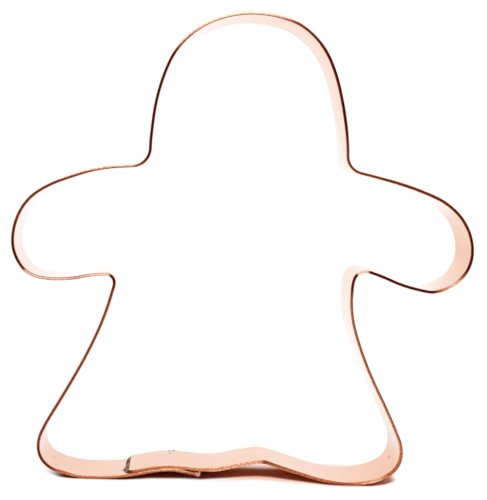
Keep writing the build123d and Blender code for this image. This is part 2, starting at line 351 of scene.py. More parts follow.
strip = {
    "edgeRound": 0.11, "cornerRound": 0.7,
    # points along a face and round a corner, how close they start to it, and points over the flat of an edge
    "facePoints": 20, "roundPoints": 5, "lip": 0.06, "flatPoints": 8,
    # rows along the strip: mm apart where it is straight, more by its bend (averaged over samples each way),
    # and closer at a cut end, over its round corner and a margin
    "step": 0.42, "bendRows": 7.0, "fineSamples": 20001, "bendSpread": 40, "endRows": 9, "endMargin": 1.1,
    "seam": 0.01, "merge": 0.0005,  # mm across the seam of the map, and between points that become one
    "leanReach": 1.6, "edgeCrown": 0.015, "wearFall": 2.2, "cutFade": 0.8,
    # the outer end is hammered round and thick: its rounded length, place, reach and share of its swelling,
    # length over which its cut edge is smoothed away and share that is left, and reach and share of the
    # rubbed end and of its heat tint
    "tipRound": 0.5, "tipSwell": (0.6, 0.45, 0.38), "tipSmooth": 1.4, "tipCut": 0.5,
    "tipRub": (0.7, 0.85), "tipHeat": (1.2, 0.7),
    # heat tint of the joint: its middle from the outer end and from the inner one, its reach and its share
    "jointHeat": (11.0, 5.0, 9.0, 0.55),
    "outerTone": 0.1, "backWear": (0.4, 0.3, 17.0, 5.3),  # how far the back edge is rubbed, in two long waves
    # bent by hand, the strip wanders off the drawn outline: distance, then how far inward its front and back
    # edges lie, smoothed over a length to either side
    "wander": [
        (29, 0, 0), (31.5, -0.10, -0.28), (34, -0.18, -0.22), (38, -0.14, -0.14), (44, 0, 0), (84, 0, 0),
        (88, -0.12, -0.12), (92, -0.12, -0.12), (96, 0.08, 0.08), (100, 0.27, 0.27), (102, 0.2, 0.2),
        (104.5, -0.08, -0.08), (108, 0, 0), (128, 0.04, 0.04), (133, -0.12, -0.12), (138, -0.3, -0.3),
        (143, -0.36, -0.36), (147, -0.1, -0.1), (149.5, 0.12, 0.12), (151, 0.1, 0.1), (155, -0.1, -0.1),
        (162, -0.08, -0.08), (170, 0, 0), (205, 0, 0), (208, -0.1, -0.1), (212, 0, 0), (246, -0.05, -0.05),
        (250, -0.1, -0.1), (256, -0.05, -0.05), (262, 0, 0), (293, 0, 0), (295.5, -0.15, -0.15), (299, 0, 0),
        (314, 0, 0), (316, -0.1, -0.1), (320, 0, 0), (334, 0.05, 0.05), (350, 0.05, 0.05),
        (357, -0.05, -0.05), (360, -0.05, -0.1), (362.5, 0.1, -0.05), (364.5, 0.35, 0.22), (366, 0.42, 0.36),
        (369, 0.42, 0.36), (371, 0.18, 0.15), (373.5, 0, 0), (387, 0.05, 0), (391.5, 0.07, -0.05),
        (393.2, 0.2, -0.15), (394.5, 0.2, -0.3), (396, -0.06, -0.42), (397.5, 0.06, -0.34),
        (399.5, 0.22, -0.1), (403, 0.22, -0.05), (407, 0.2, 0), (410, 0, 0),
    ],
    "wanderSmooth": 0.8, "wanderSamples": 9,
    # burr left on the front edge by the shears: distance, then how far it thickens the outer and inner side
    "burr": [
        (212, 0, 0), (216, 0, 0.08), (234, 0, 0.08), (238, 0, 0), (250, 0, 0), (256, 0, 0.1), (292, 0, 0.1),
        (296, 0, 0), (354, 0, 0), (357, 0.12, 0), (361, 0.25, 0), (369, 0.25, 0), (371, 0.12, 0),
        (372.5, 0, 0), (384.5, 0, 0), (387, 0.12, 0), (392, 0.12, 0), (394.2, 0.3, 0), (405, 0.3, 0),
        (408, 0.15, 0), (412, 0, 0),
    ],
    # the front edge: distance in mm, lean of the cut towards the outer face in degrees, then how far its outer
    # side, its middle and its inner side are rubbed bright, which also paints highlight where the edge catches
    # light and shade where it does not
    "frontEdge": [
        (0, 6, 0.3, 0.5, 0.6), (2, 8, -0.3, 0.35, 0.7), (4, 10, -0.7, 0.55, 1.0), (9, 12, -0.5, 0.65, 1.4),
        (13, 8, -0.2, 0.5, 1.1), (16, 6, 0.2, 0.5, 0.8), (20, 4, 0.4, 0.5, 0.8), (30, 2, 0.4, 0.5, 0.7),
        (33, 0, 0.25, 0.35, 0.6), (35, -2, 0.0, 0.0, 0.6), (37.5, -4, 0.0, -0.1, 0.55),
        (39, -2, 0.1, -0.05, 0.5), (42, 0, 0.3, 0.08, 0.4), (60, 2, 0.35, 0.14, 0.45), (78, 0, 0.4, 0.2, 0.5),
        (82, -4, 0.1, 0.0, 0.2), (84, -6, 0.0, 0.0, 0.0), (85.0, 18, 0.0, 1.8, 0.0), (88, 18, -0.3, 1.6, -0.3),
        (91, 14, -0.4, 1.0, -0.4), (93, 14, -0.6, 1.0, -0.8), (95, 20, -0.9, 1.4, -1.1),
        (101, 20, -0.9, 1.4, -1.1), (103.8, 18, -0.5, 1.3, -0.7), (104.8, -2, 0.0, 0.2, 0.2),
        (108, -8, 0.1, 0.0, 0.3), (116, -6, 0.2, 0.0, 0.5), (118, -2, 0.3, 0.1, 0.5), (127, 5, 0.5, 0.2, 0.4),
        (134, 8, 0.8, 0.35, 0.0), (140, 12, 1.0, 0.9, -0.5), (147, 13, 1.2, 1.0, -0.4),
        (149.5, 6, 0.8, 0.5, 0.0), (151, 0, 0.3, 0.1, 0.2), (153, -4, 0.1, 0.0, 0.3), (176, -4, 0.3, 0.0, 0.4),
        (179, 12, 1.0, 0.8, -0.3), (184, 13, 1.2, 1.2, -1.0), (195, 13, 1.2, 1.2, -1.0),
        (201, 14, 1.2, 1.1, -0.6), (205, 12, 0.9, 0.7, 0.0), (208, 6, 0.5, 0.3, 0.5), (212, 0, 0.4, 0.15, 0.8),
        (218, -4, 0.1, 0.0, 0.8), (236, -4, 0.1, 0.0, 0.8), (239, 0, 0.3, 0.2, 0.8), (246, 4, 0.4, 0.38, 0.9),
        (249, 4, 0.4, 0.26, 0.9), (262, 2, 0.3, 0.16, 1.1), (270, -2, 0.2, 0.02, 1.2),
        (279, -5, 0.1, -0.1, 1.3), (285, -5, 0.1, -0.1, 1.0), (287.3, 3, 0.3, 0.3, 0.6),
        (290, 13, 1.0, 1.2, 0.9), (292, 12, 0.8, 0.7, 0.6), (293.8, 5, 0.4, 0.4, 0.5),
        (295.5, -5, 0.1, -0.1, 0.2), (310.6, -5, 0.1, 0.0, 0.2), (311.4, 24, 1.5, 1.5, 1.5),
        (313.2, 24, 1.5, 1.5, 1.5), (314.0, -4, 0.0, 0.0, 0.0), (317, -4, 0.2, 0.0, 0.1),
        (320, 5, 0.45, 0.42, 0.5), (325, 7, 0.5, 0.5, 0.6), (336, 7, 0.5, 0.5, 0.6), (338, 5, 0.3, 0.45, 0.6),
        (345, 7, 0.3, 0.5, 0.6), (354, 6, 0.3, 0.5, 0.6), (358, 4, 0.2, 0.4, 0.5), (362, 2, 0.15, 0.35, 0.5),
        (363.5, 3, 0.15, 0.35, 0.5), (365, 6, 0.5, 0.7, 0.8), (367, 8, 0.9, 0.95, 0.8),
        (369.5, 8, 0.7, 0.75, 0.6), (371, 6, 0.3, 0.5, 0.5), (373.5, 4, 0.15, 0.3, 0.35),
        (376, 4, 0.15, 0.28, 0.4), (380, 2, 0.15, 0.38, 0.4), (386, 0, 0.25, 0.38, 0.3),
        (390, 0, 0.35, 0.38, 0.1), (392.8, -3, 0.3, 0.3, 0.0), (393.3, -3, 0.0, 0.02, 0.1),
        (393.8, 2, 0.2, 0.4, 0.6), (394.3, 8, 0.75, 0.8, 0.95), (402, 8, 0.7, 0.75, 0.95),
        (408, 8, 0.5, 0.6, 0.8), (416, 6, 0.3, 0.45, 0.8), (423.4, 6, 0.2, 0.35, 0.6),
        (424.2, 6, 0.1, 0.1, 0.1),
    ],
    "shearLine": (-0.03, 0.09, 0.3),  # dark line between the smooth and the torn cut: place, width, depth
    # the inner face along the outline: distance in mm, and 1 for tarnished to -1 for burnished, which is also
    # painted reflection, paler where the face reflects more light and deeper where it reflects less; each tone
    # starts earlier at the back edge than at the front one, by a slant of its own along the outline
    "toneSlant": [(256, 0.35), (264, 0.0), (276, 0.0), (288, 0.3), (300, 0.35)],
    "faceToneAndSheen": [
        (0, 0.2), (14, 0.3), (25, 0.2), (34, 0.4), (38, 0.6), (42, 0.35), (50, 0), (60, -0.1), (75, -0.2),
        (80, -0.6), (84, -1), (94, -1), (97, -0.6), (100, -0.35), (112, -0.5), (118, -0.6), (124, -0.8),
        (178, -0.85), (186, -0.7), (192, -0.35), (202, 0), (225, -0.05), (237, -0.3), (243, -0.8),
        (247, -1.1), (266, -1.1), (270, -0.4), (274, 0.45), (282, 0.75), (287, 0.15), (292, -0.2),
        (297, -0.8), (300, -1), (308, -0.9), (312, -0.2), (318, -0.5), (325, -0.6), (340, -0.7), (346, 0),
        (352, 0.5), (362, 0.6), (370, 0.25), (387, 0.1), (400, 0.1), (412, 0.2), (425, 0.3),
    ],
    # marks on the inner face: distance along, place through the cutter, reach each way, colour and share;
    # a mark is full within a core of its reach
    "marks": [
        (360.7, 1.1, 0.6, 1.8, "#7A4A3C", 0.9), (35.1, 1.9, 0.5, 1.3, "#8A5A52", 0.9),
        (37.6, -4.3, 0.45, 2.2, "#A0706A", 0.7), (353.3, -1.5, 0.7, 3.6, "#B88878", 0.7),
        (415.6, 8.0, 2.2, 2.8, "#F1CFA0", 0.7), (415.4, 7.1, 0.8, 1.4, "#B84C34", 0.9),
        (268.3, -4.7, 0.6, 0.8, "#D8A2A0", 0.5), (42.0, 2.0, 7.0, 16.0, "#E2BDB8", 0.6),
        (354.0, 2.0, 5.0, 16.0, "#E6BFBC", 0.5),
    ],
    "markCore": 0.3,
}


def stripSpacing():
    # distances along the path, closer together where it bends more and at the cut ends
    fine = np.linspace(0, path["whole"], strip["fineSamples"])
    _, _, bend = alongPath(fine)
    spread = strip["bendSpread"]
    window = np.ones(2 * spread + 1) / (2 * spread + 1)
    smooth = np.convolve(np.pad(np.abs(bend), spread, mode="edge"), window, mode="valid")
    density = 1 / strip["step"] + strip["bendRows"] * smooth
    count = np.concatenate([[0], np.cumsum((density[1:] + density[:-1]) / 2 * np.diff(fine))])
    inside = np.interp(np.linspace(0, count[-1], int(count[-1])), count, fine)
    r, margin = strip["cornerRound"], strip["cornerRound"] * strip["endMargin"]
    inside = inside[(inside > margin) & (inside < path["whole"] - margin)]
    ends = r * (1 - np.cos(np.linspace(0, np.pi / 2, strip["endRows"])))
    return np.concatenate([ends, inside, path["whole"] - ends[::-1]])


def stripProfile():
    # a closed section: the outer face, the back edge with its two round corners, and both turned half round
    half, r = figure["sheet"] / 2, strip["edgeRound"]
    depth = figure["depth"] / 2
    turn = np.linspace(0, np.pi / 2, strip["roundPoints"])
    face = np.linspace(-1, 1, strip["facePoints"]) * (depth - r - strip["lip"])
    face = np.concatenate([[-(depth - r)], face, [depth - r]])
    outer = np.stack([np.full(len(face), -half), face], -1)
    backOuter = np.stack([-half + r * (1 - np.cos(turn)), depth - r + r * np.sin(turn)], -1)[1:]
    flat = np.linspace(-half + r, half - r, strip["flatPoints"])[1:-1]
    back = np.stack([flat, np.full(len(flat), depth)], -1)
    backInner = np.stack([half - r * (1 - np.sin(turn)), depth - r + r * np.cos(turn)], -1)[:-1]
    halfLoop = np.vstack([outer, backOuter, back, backInner])
    return np.vstack([halfLoop, -halfLoop])


def stripGrid(s, profile):
    across, deep = profile.T
    place, angle, _ = alongPath(s)
    inward = inwardVector(angle)
    half, depth = figure["sheet"] / 2, figure["depth"] / 2
    # the two cut ends have snipped corners, so the section narrows there along a quarter circle
    r = strip["cornerRound"]
    left = np.clip(r - np.minimum(s, path["whole"] - s), 0, r)
    narrow = r - np.sqrt(np.maximum(r ** 2 - left ** 2, 0))
    y = np.sign(deep) * np.clip(np.abs(deep) - narrow[:, None], 0, None)
    # the outer end is rubbed round: its thickness follows a quarter circle, then a swelling like a bell
    swellPlace, swellReach, swell = strip["tipSwell"]
    toTip = np.clip(1 - s / strip["tipRound"], 0, 1)
    thick = np.sqrt(1 - toTip ** 2) * (1 + swell * np.exp(-((s - swellPlace) / swellReach) ** 2))
    # the shears leave the cut leaning: its outer corner lies further back by the tangent of the lean
    lean = np.tan(np.radians(readTable(strip["frontEdge"], s)[0]))[:, None]
    nearFront = np.clip((-deep - depth + strip["leanReach"]) / strip["leanReach"], 0, 1) ** 2
    setBack = np.where(lean > 0, lean * (half - across), -lean * (half + across))
    # and hands have rubbed it slightly round, further back at each side by the square of the way out
    y = y + (setBack + strip["edgeCrown"] * (across / half) ** 2) * nearFront
    # the wander runs evenly from the front edge to the back one
    near = s[:, None] + np.linspace(-1, 1, strip["wanderSamples"]) * strip["wanderSmooth"]
    frontOff, backOff = (column.mean(1)[:, None] for column in readTable(strip["wander"], near))
    off = across * thick[:, None] + frontOff + (backOff - frontOff) * (y + depth) / (2 * depth)
    # each burr is full at its own side and nothing at the other
    outerBurr, innerBurr = (column[:, None] for column in readTable(strip["burr"], s))
    off = off + nearFront * (innerBurr * (half + across) - outerBurr * (half - across)) / (2 * half)
    grid = np.stack([place[:, :1] + inward[:, :1] * off, y, place[:, 1:] + inward[:, 1:] * off], -1)
    # caps: the end ring drawn in to its own middle
    one = np.ones(len(across))
    caps = [np.stack([one * place[end, 0], y[end], one * place[end, 1]], -1) for end in (0, -1)]
    return np.concatenate([caps[:1], grid, caps[1:]])


def stripWear(s, profile):
    # what the material reads at each point: cut edge, heat tint, rubbing of the edges with its painted
    # highlight and shade, and tone of the face with its painted reflection
    across, deep = profile.T
    half, depth = figure["sheet"] / 2, figure["depth"] / 2
    r = strip["edgeRound"]
    cut = np.clip((np.abs(deep) - (depth - r)) / (r * strip["cutFade"]), 0, 1)
    cutEdge = cut * np.clip(s / strip["tipSmooth"], strip["tipCut"], 1)[:, None]
    rubReach, rubShare = strip["tipRub"]
    cutEdge = np.maximum(cutEdge, rubShare * np.exp(-(s / rubReach) ** 2)[:, None])
    cutEdge[-2:] = 1
    # heat falls off like a bell from the joint's two ends and from the tip
    fromOuter, fromInner, jointReach, jointShare = strip["jointHeat"]
    fromJoint = np.minimum(np.abs(s - fromOuter), np.abs(s - (path["whole"] - fromInner)))
    heatReach, heatShare = strip["tipHeat"]
    heat = np.maximum(jointShare * np.exp(-(fromJoint / jointReach) ** 2),
                      heatShare * np.exp(-(s / heatReach) ** 2))
    # each side's wear, with its painted highlight and shade, fades in from the middle by a power of the way
    # out
    outerWornAndLit, middleWornAndLit, innerWornAndLit = (column[:, None] for column in readTable(strip["frontEdge"], s)[1:])
    sideWornAndLit = np.where(across > 0, innerWornAndLit, outerWornAndLit)
    frontWornAndLit = middleWornAndLit + (sideWornAndLit - middleWornAndLit) * np.abs(across / half) ** strip["wearFall"]
    linePlace, lineWidth, lineDark = strip["shearLine"]
    frontWornAndLit = frontWornAndLit * (1 - lineDark * np.exp(-((across - linePlace) / lineWidth) ** 2))
    mean, sway, longWave, shortWave = strip["backWear"]
    backWorn = mean + sway * np.sin(s / longWave) * np.sin(s / shortWave + 1.0)
    # the tone of the inner face: tarnish, and painted reflection that is paler where the face reflects more
    # light
    slant, = readTable(strip["toneSlant"], s)
    tone, = readTable(strip["faceToneAndSheen"], s[:, None] + slant[:, None] * deep)
    return {"cutEdge": cutEdge, "heat": np.repeat(heat[:, None], len(across), 1),
            "wornAndLit": np.where(deep < 0, frontWornAndLit, backWorn[:, None]),
            "faceToneAndSheen": np.where(across < 0, strip["outerTone"], tone)}


def buildStrip(material):
    # the section carried along the outline; its first column comes again at the end, so the map has a seam
    s, profile = stripSpacing(), stripProfile()
    grid = stripGrid(s, profile)
    s = np.concatenate([s[:1], s, s[-1:]])
    around = np.concatenate([[0], np.cumsum(np.hypot(*np.diff(profile, axis=0).T))])
    around = np.append(around, around[-1] + strip["seam"])
    uv = np.stack(np.broadcast_arrays(s[:, None] * mm, around * mm), -1)
    wear = {key: np.concatenate([values, values[:, :1]], 1) for key, values in stripWear(s, profile).items()}
    mesh = gridMesh("cutterStrip", np.concatenate([grid, grid[:, :1]], 1), attributes=wear, uv=uv)
    tidyMesh(mesh, strip["merge"])
    print("strip", len(mesh.polygons), "faces")
    addPiece("cutterStrip", mesh, material, "copper", "strip")


buildStrip(copperMaterial())


# Soft solder, tin and lead run in with an iron: dull grey metal that froze in streaks,
# under patches of brown burnt flux that hide its shine.

solder = {
    "bare": "#C9B7B0", "dull": "#6A5A56", "flux": "#5A3820", "fluxGlaze": "#B07C4A", "copperReflection": "#F6C8A4",
    "streakSize": (0.5, 1.6, 0.5), "grainSize": (0.25, 0.25, 0.25), "grainDepth": 0.06,  # mm
    "metalRoughness": 0.28, "fluxRoughness": 0.75, "patchSway": 0.45,
    # the fillet at the inner cut end: place through the cutter, reach along the outer layer, share of the
    # height of the cut end, and share of burnt flux
    "bead": [
        (-10.9, 0.35, 0.65, 1.0), (-9.6, 0.75, 0.9, 0.9), (-8.0, 1.2, 0.95, 0.6), (-6.2, 1.4, 0.95, 0.6),
        (-5.1, 1.9, 0.85, 0.9), (-4.3, 1.6, 0.95, 0.7), (-3.0, 1.5, 0.9, 0.6), (-1.0, 1.3, 0.95, 0.45),
        (1.0, 1.1, 0.9, 0.3), (2.2, 1.15, 0.9, 0.35), (3.0, 1.25, 0.95, 0.8), (6.0, 1.15, 0.97, 0.95),
        (8.0, 1.1, 0.95, 1.1), (10.0, 1.0, 0.9, 1.1), (10.9, 0.9, 0.75, 1.0),
    ],
    "beadPoints": (160, 26), "hollow": 1.2, "sink": 0.02,
    # waves through the cutter that leave its run ragged: rate, start and height in mm
    "ragged": [(7.1, 0.0, 0.07), (15.3, 1.0, 0.049)],
    # lumps, each a wave through the cutter times one across the fillet: rate and start of each; then their
    # height along the outer layer and up the cut end, in mm
    "lumps": [(4.3, 0.0, 9.0, 0.0), (9.7, 2.0, 14.0, 1.0)], "lumpHeight": (0.06, 0.042),
    # the film between the layers: distance along the outer one, how far it stops short of the front edge, how
    # far it creeps over each rounded corner, and share of burnt flux; below 0 it is painted with the pale
    # copper of a reflection from the layers beside it
    "film": [
        (0.3, 0.5, 0.0, 1.2), (2.6, 0.6, 0.0, 1.2), (3.4, 0.45, 0.0, 1.2), (3.7, 0.2, 0.0, -0.2),
        (4.5, 0.12, 0.03, -0.6), (5.5, 0.06, 0.06, -1.0), (8.6, 0.06, 0.06, -1.0), (9.3, 0.14, 0.03, -0.4),
        (9.8, 0.25, 0.0, 1.0), (16.5, 0.25, 0.0, 1.0),
    ],
    # its front line waves by a height and a rate, its lip runs back and stands back by two lengths,
    # and it ends short of the back edge
    "filmPoints": 120, "filmWave": (0.02, 5.3), "filmLip": (0.2, 0.03), "filmBack": 0.25,
    "drops": [("1", 415.55, 0.30, 0.1), ("2", 414.5, 0.40, 0.14)],  # node, distance along, radius, height
    "dropInset": 0.55, "dropPoints": (10, 28), "dropSink": 0.01, "dropFlux": 0.3,
    "dropRim": (0.12, 0.07),  # shares of the radius by which three and five waves leave the rim uneven
    "merge": 0.0005, "filmMerge": 0.0002,
}


def solderMaterial():
    material, tree = newMaterial("softSolder")
    place = addNode(tree, "TexCoord").outputs["Object"]
    streakMap, grainMap = (addNode(tree, "Mapping", {
        "Vector": place, "Scale": [1 / (side * mm) for side in solder[size]]})
        for size in ("streakSize", "grainSize"))
    streaks = addNode(tree, "TexNoise", {"Vector": streakMap, "Scale": 1.0, "Detail": 4.0, "Roughness": 0.6})
    grain = addNode(tree, "TexNoise", {"Vector": grainMap, "Scale": 1.0, "Detail": 3.0})
    tone = addNode(tree, "MapRange", {"Value": streaks, "From Min": 0.4, "From Max": 0.6})
    plain = addNode(tree, "MixRGB", {"Fac": tone, "Color1": solder["dull"], "Color2": solder["bare"]})
    fluxShare = addNode(tree, "Attribute", attribute_name="flux").outputs["Fac"]
    # painted reflection: below 0 the film takes the pale copper that the layers beside it reflect
    copperReflectionShare = addNode(tree, "MapRange", {"Value": fluxShare, "From Max": -1.0})
    metal = addNode(tree, "MixRGB", {"Fac": copperReflectionShare, "Color1": plain, "Color2": solder["copperReflection"]})
    sway = solder["patchSway"]
    patch = addNode(tree, "MapRange", {
        "Value": grain, "From Min": 0.35, "From Max": 0.65, "To Min": -sway, "To Max": sway})
    fluxSum = addNode(tree, "Math", {0: fluxShare, 1: patch}, operation="ADD")
    flux = addNode(tree, "MapRange", {"Value": fluxSum, "From Min": 0.35, "From Max": 0.65})
    glaze = addNode(tree, "MapRange", {"Value": streaks, "From Min": 0.52, "From Max": 0.6})
    crust = addNode(tree, "MixRGB", {"Fac": glaze, "Color1": solder["flux"], "Color2": solder["fluxGlaze"]})
    colour = addNode(tree, "MixRGB", {"Fac": flux, "Color1": metal, "Color2": crust})
    metallic = addNode(tree, "MapRange", {"Value": flux, "To Min": 1.0, "To Max": 0.0})
    rough = addNode(tree, "MapRange", {
        "Value": flux, "To Min": solder["metalRoughness"], "To Max": solder["fluxRoughness"]})
    bump = addNode(tree, "Bump", {"Height": grain, "Strength": 0.7, "Distance": solder["grainDepth"] * mm})
    shader = addNode(tree, "BsdfPrincipled", {
        "Base Color": colour, "Roughness": rough, "Metallic": metallic, "Normal": bump})
    addNode(tree, "OutputMaterial", {"Surface": shader})
    return material


solderFinish = solderMaterial()


def addSolder(name, node, rings, flux, merge):
    # a piece of solder from its closed rings, each with its share of burnt flux
    wear = {"flux": np.repeat(flux[:, None], rings.shape[1], 1)}
    mesh = gridMesh(name, rings, closeAcross=True, attributes=wear)
    tidyMesh(mesh, merge)
    addPiece(name, mesh, solderFinish, "solder", node)


def capped(rings):
    # closes a run of rings: each end ring is drawn in to its own middle
    ends = np.repeat(rings[[0, -1]].mean(1, keepdims=True), rings.shape[1], 1)
    return np.concatenate([ends[:1], rings, ends[1:]])


def onLayer(distance, height, y):
    # a place on the inner face of the strip at a distance along it, raised by a height
    place, angle, _ = alongPath(distance)
    spot = place + inwardVector(angle) * (figure["sheet"] / 2 + height)[..., None]
    return np.stack([spot[..., 0], np.broadcast_to(y, spot.shape[:-1]), spot[..., 1]], -1)


def buildBead():
    # a hollow fillet: reach times (1 - u) to a power, height times u to the same power, with lumps of waves
    rowsThrough, pointsAcross = solder["beadPoints"]
    y = np.linspace(solder["bead"][0][0], solder["bead"][-1][0], rowsThrough)
    u = np.linspace(0, 1, pointsAcross)
    reach, share, flux = readTable(solder["bead"], y)
    reach = reach + sum(size * np.sin(rate * y + start) for rate, start, size in solder["ragged"])
    reach, height = reach[:, None], (share * (figure["sheet"] + figure["solderGap"]))[:, None]
    lump = sum(np.sin(rate * y + start)[:, None] * np.sin(rateAcross * u + startAcross)
               for rate, start, rateAcross, startAcross in solder["lumps"]) * np.sin(np.pi * u) ** 0.5
    lumpAway, lumpUp = solder["lumpHeight"]
    away = reach * (1 - u) ** solder["hollow"] + lumpAway * lump
    up = height * u ** solder["hollow"] + lumpUp * lump
    # the buried wall: down the cut end by shares of the height, then out along the layer by shares of reach
    sink = solder["sink"]
    down, out = np.array([[1.0, 0.5, 0.0, 0.0, 0.0], [0.0, 0.0, 0.0, 0.3, 0.7]])
    away = np.concatenate([away, np.where(out > 0, out * reach, -sink)], 1)
    up = np.concatenate([up, down * height - np.where(down < 1, sink, 0)], 1)
    lapEnd = path["ends"][2 * figure["lapEndRow"] - 1]
    rings = capped(onLayer(lapEnd + away, up, y[:, None]))
    addSolder("solderBead", "solder_bead", rings, np.pad(flux, 1, mode="edge"), solder["merge"])


def buildFilm():
    # a closed band between the faces of the two layers, whose front swells over their rounded corners
    s = np.linspace(solder["film"][0][0], solder["film"][-1][0], solder["filmPoints"])
    inset, creep, flux = readTable(solder["film"], s)
    waveHeight, waveRate = solder["filmWave"]
    # the place on the inner layer across from each place on the outer one
    rows = (1, figure["crestRow"], figure["lapEndRow"], len(figure["outlineShares"]) - 1)
    wedgeEnd, outerCrest, outerEnd, innerWedge = (path["ends"][2 * row - 1] for row in rows)
    innerCrest = path["whole"] - (outerEnd - outerCrest)
    inner = np.interp(s, [0, wedgeEnd, outerCrest, outerEnd],
                      [innerWedge - wedgeEnd, innerWedge, innerCrest, path["whole"]])
    half, depth = figure["sheet"] / 2, figure["depth"] / 2
    outerPlace, outerAngle, _ = alongPath(s)
    innerPlace, innerAngle, _ = alongPath(inner)
    low = outerPlace + inwardVector(outerAngle) * half
    between = innerPlace - inwardVector(innerAngle) * half - low
    gap = np.linalg.norm(between, axis=-1)
    unit = between / gap[:, None]
    front = -depth + inset + waveHeight * np.sin(waveRate * s)
    back, none = np.full(len(s), depth - solder["filmBack"]), np.zeros(len(s))
    lipRun, lipBack = solder["filmLip"]
    # each ring, as place between the layers from 0 to the gap, and place through the cutter
    ring = [(none, back), (gap, back), (gap, front + lipRun), (gap + creep, front + lipBack),
            (gap / 2, front), (-creep, front + lipBack), (none, front + lipRun)]
    rings = capped(np.stack([np.column_stack([low[:, 0] + unit[:, 0] * n, y, low[:, 1] + unit[:, 1] * n])
                             for n, y in ring], 1))
    addSolder("solderFilm", "solder_film", rings, np.pad(flux, 1, mode="edge"), solder["filmMerge"])


def buildDrop(node, distance, radius, height):
    # a low dome: height times one less the square of the way out, its rim wavy by the angle
    ringCount, aroundCount = solder["dropPoints"]
    three, five = solder["dropRim"]
    out, turn = np.linspace(0, 1, ringCount)[:, None], np.linspace(0, 2 * np.pi, aroundCount + 1)[:-1]
    rim = radius * (1 + three * np.sin(3 * turn + distance) + five * np.sin(5 * turn))
    along = distance + out * rim * np.cos(turn)
    through = figure["depth"] / 2 - solder["dropInset"] + out * rim * np.sin(turn)
    up = height * (1 - out ** 2) + 0 * turn
    top = onLayer(along, up - solder["dropSink"], through)
    foot = onLayer(along[::-1], 0 * up - solder["dropSink"], through[::-1])
    rings = np.concatenate([top, foot])
    flux = np.full(len(rings), solder["dropFlux"])
    addSolder("solderDrop" + node, "solder_drop_" + node, rings, flux, solder["merge"])


buildBead()
buildFilm()
for drop in solder["drops"]:
    buildDrop(*drop)
print("solder done")


# The table, the light and the camera

studio = {
    "table": "#FBFBFB", "tableRoughness": 0.5, "tableReach": 3000.0,
    "nearX": (-50, 46), "nearY": (-24, 24), "nearStep": 0.5,  # the ground round the hem that has a close grid
    "sweepFront": (-900.0, -250.0),  # the white paper ends in the dark of the room in front
    # the shade's tone, its tone where the copper lights it, how near the copper has to be, and the open sky
    # at which it starts and is full
    "shade": "#A05A48", "litShade": "#CA8068", "shadeReach": 8.0, "shadeOpen": 0.9, "shadeFull": 0.12,
    "shadeSamples": 16,
    # the warm glow at the rim of the shade: its tone, how much of the shade's rise it takes up,
    # and where it starts and is full
    "glow": "#F7CDBF", "glowShare": 0.25, "glowRight": (-8.0, 4.0), "glowBack": (21.7, 11.0),
    # the ground that the hem shades, mm: each pair is where the shade starts and where it is full
    "shadeLeft": (-45.5, -39.5), "shadeRight": (38.9, 36.8), "shadeBack": (21.7, 7.2),
    # its front line: place along X, the line, half the width of its blur, and the share of a faint skirt that
    # reaches out before it
    "shadeFront": [
        (-46, -2.5, 2.0, 0), (-43.4, -4.6, 1.5, 0), (-42, -7.0, 1.2, 0), (-40.6, -9.6, 1.0, 0),
        (-38, -11.5, 1.0, 0), (-34, -12.4, 1.0, 0), (-29, -12.4, 1.0, 0), (-25.5, -11.4, 1.2, 0),
        (-19.5, -8.4, 1.6, 0), (-12.5, -7.6, 1.8, 0), (-8, -8.1, 1.8, 0.05), (-4.5, -6.5, 1.8, 0.1),
        (-1, -4.9, 1.8, 0.2), (2.5, -3.0, 1.8, 0.3), (5.5, -2.1, 1.8, 0.35), (8.5, -2.8, 1.8, 0.35),
        (13, -5.9, 1.8, 0.2), (17.5, -8.8, 1.6, 0.1), (21, -10.8, 1.4, 0), (25, -11.9, 1.2, 0),
        (28, -11.4, 1.0, 0), (31.3, -11.0, 1.0, 0), (33.3, -9.4, 1.0, 0), (34.8, -8.2, 1.0, 0),
        (36, -6.3, 1.0, 0), (37.3, -4.0, 1.0, 0), (38.3, -1.2, 1.0, 0), (40, 3.0, 1.0, 0),
    ],
    "skirtReach": 7.0,
    "white": "#FFFFFF", "frontDark": "#946A50",
    # walls, from the dark in front: direction, where along it each starts and is full, tone and how it mixes
    "walls": [
        ("Y", -0.75, -0.1, "#BCBCBC", "MIX"), ("Y", -0.05, 0.35, "#FFFFFF", "LIGHTEN"),
        ("Z", 0.35, 0.6, "#F3F3F3", "LIGHTEN"),
    ],
    # the soft box above the camera: direction, how closely a ray has to run along it, and strength
    "boxPlace": (-0.15, -0.63, 0.76), "boxEdge": (0.86, 0.97), "boxBright": 1.2,
}


